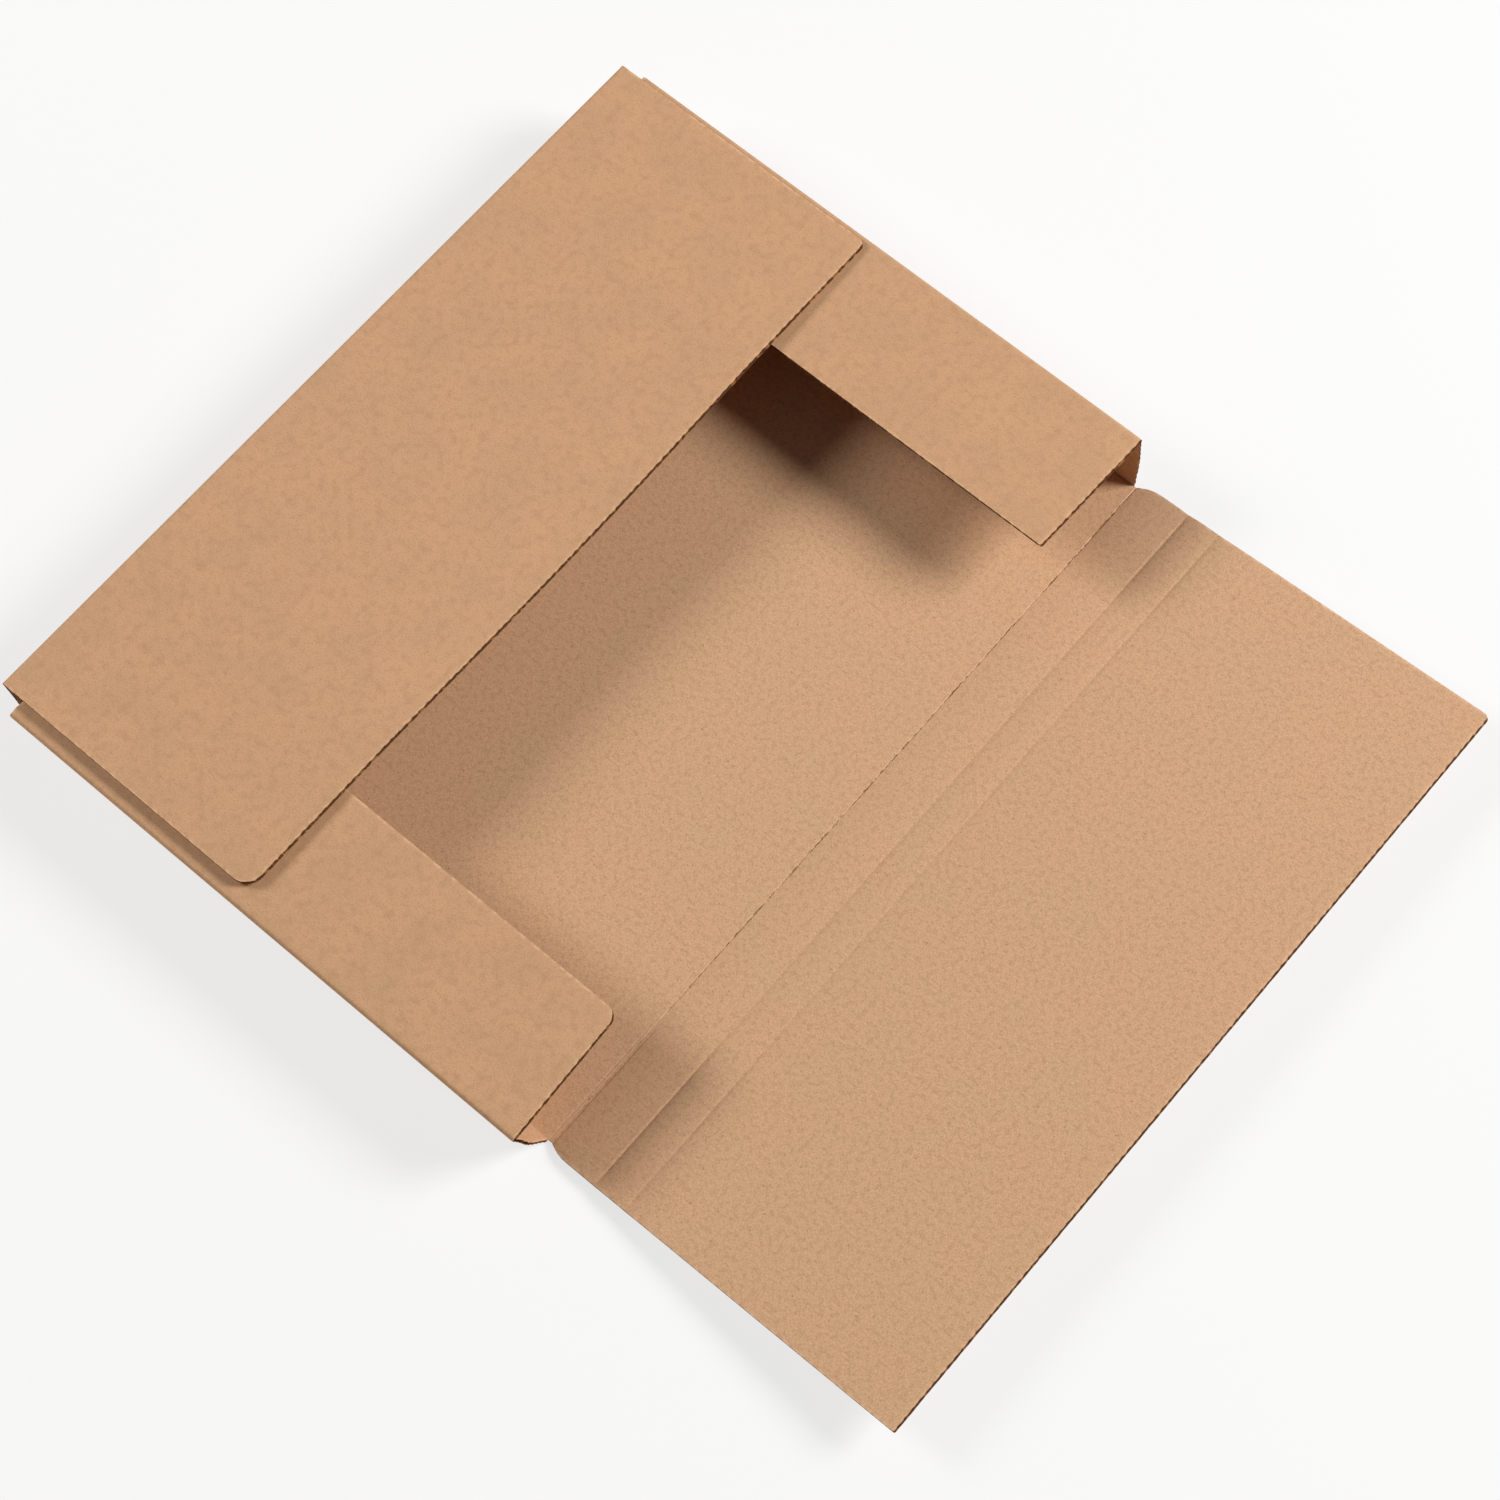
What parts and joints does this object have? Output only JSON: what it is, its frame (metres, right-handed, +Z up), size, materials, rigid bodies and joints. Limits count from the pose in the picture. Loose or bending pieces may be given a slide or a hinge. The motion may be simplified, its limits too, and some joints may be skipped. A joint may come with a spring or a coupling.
{
  "type": "wraparound mailer",
  "caption": "Kraft corrugated wraparound mailer folded from one sheet, side flaps in, left flap folded over them and scored right flap open.",
  "frame": {"origin": "middle of the base's underside", "axes": "+X across the mailer from the left wall to the open right flap, +Y along the scores to the far side wall, +Z up"},
  "size_m": [0.383, 0.3186, 0.037],
  "materials": {
    "kraft_board": "uncoated kraft liner, E-flute"
  },
  "bodies": {
    "tray": {"tray": "kraft_board"},
    "left_wall": {"left_wall": "kraft_board"},
    "left_cover": {"left_cover": "kraft_board"},
    "right_wall": {"right_wall": "kraft_board"},
    "right_cover": {"right_cover": "kraft_board"}
  },
  "joints": [
    {"name": "left_base_crease", "type": "hinge", "parent": "tray", "child": "left_wall", "pos_m": [-0.1143, 0, 0.0016], "axis": [0, -1, 0], "range_deg": [0, 81]},
    {"name": "left_cover_crease", "type": "hinge", "parent": "left_wall", "child": "left_cover", "pos_m": [-0.11965, 0, 0.03538], "axis": [0, -1, 0], "range_deg": [0, 99]},
    {"name": "right_base_crease", "type": "hinge", "parent": "tray", "child": "right_wall", "pos_m": [0.1143, 0, 0.0016], "axis": [0, -1, 0], "range_deg": [-6, 84]},
    {"name": "right_cover_crease", "type": "hinge", "parent": "right_wall", "child": "right_cover", "pos_m": [0.14831, 0, 0.00517], "axis": [0, -1, 0], "range_deg": [0, 90]}
  ]
}
